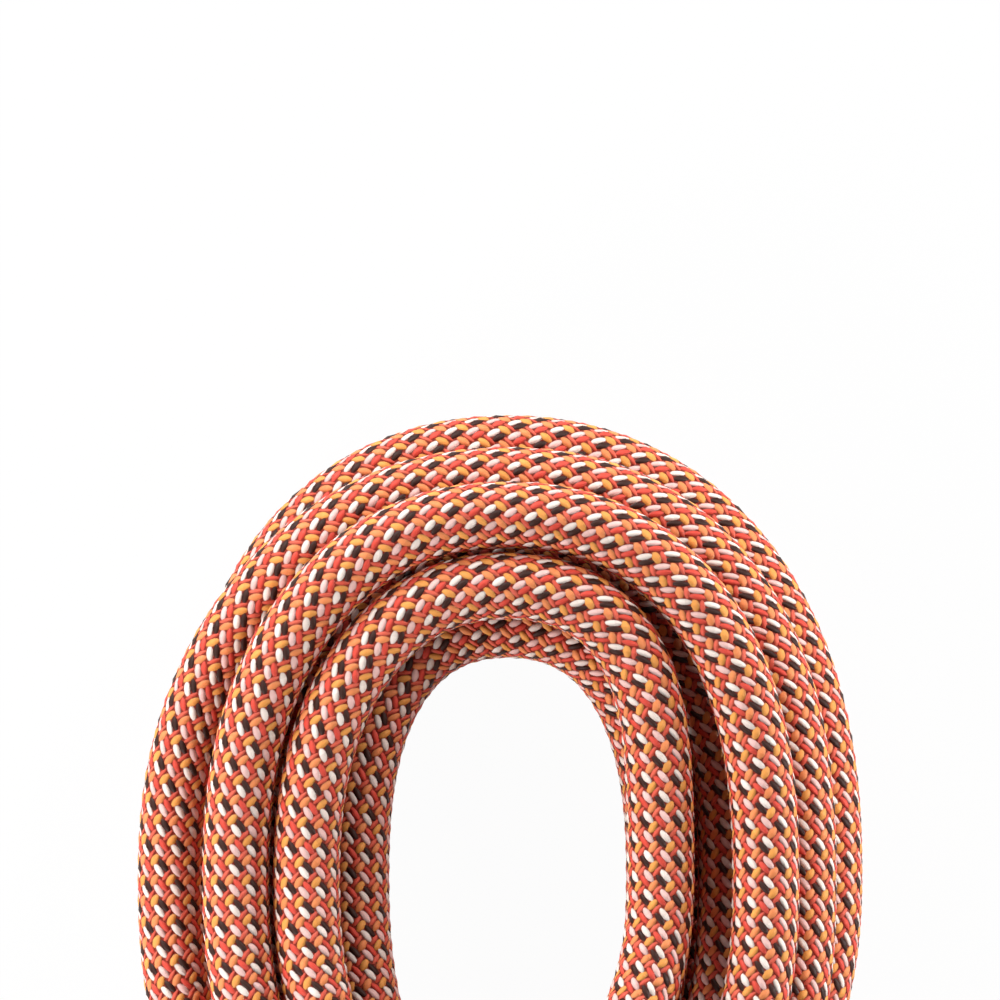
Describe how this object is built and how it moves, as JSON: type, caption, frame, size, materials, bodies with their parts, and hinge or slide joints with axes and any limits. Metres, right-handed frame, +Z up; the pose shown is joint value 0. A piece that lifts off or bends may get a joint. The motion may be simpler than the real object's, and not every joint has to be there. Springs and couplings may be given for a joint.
{
  "type": "dynamic climbing rope",
  "caption": "Dynamic kernmantle climbing rope, orange and white flecked, tied as a flat elongated hank with the rope's own end wrapped round the waist.",
  "frame": {"origin": "middle of the hank's footprint, on the surface that it lies on", "axes": "+Z up, away from that surface; +Y along the hank, towards the upper fold, which has no rope end in it; +X to the right as seen from above"},
  "size_m": [0.1078, 0.2994, 0.0508],
  "materials": {
    "sheath_yarn": "woven polyamide, matt with a slight sheen, orange, coral, ochre, white and black picks",
    "core_yarn": "undyed twisted polyamide",
    "marker_yarn": "dyed identification thread",
    "end_sleeve": "shrunk polyolefin tube, satin",
    "fused_nylon": "melted and set polyamide, slightly glossy"
  },
  "bodies": {
    "root": {"sheath": "sheath_yarn", "core_strand_1": "core_yarn", "core_strand_2": "core_yarn", "core_strand_3": "core_yarn", "core_strand_4": "core_yarn", "core_strand_5": "core_yarn", "core_strand_6": "core_yarn", "marker_thread": "marker_yarn", "end_sleeve_a": "end_sleeve", "melted_tip_a": "fused_nylon", "end_sleeve_b": "end_sleeve", "melted_tip_b": "fused_nylon"}
  },
  "joints": []
}
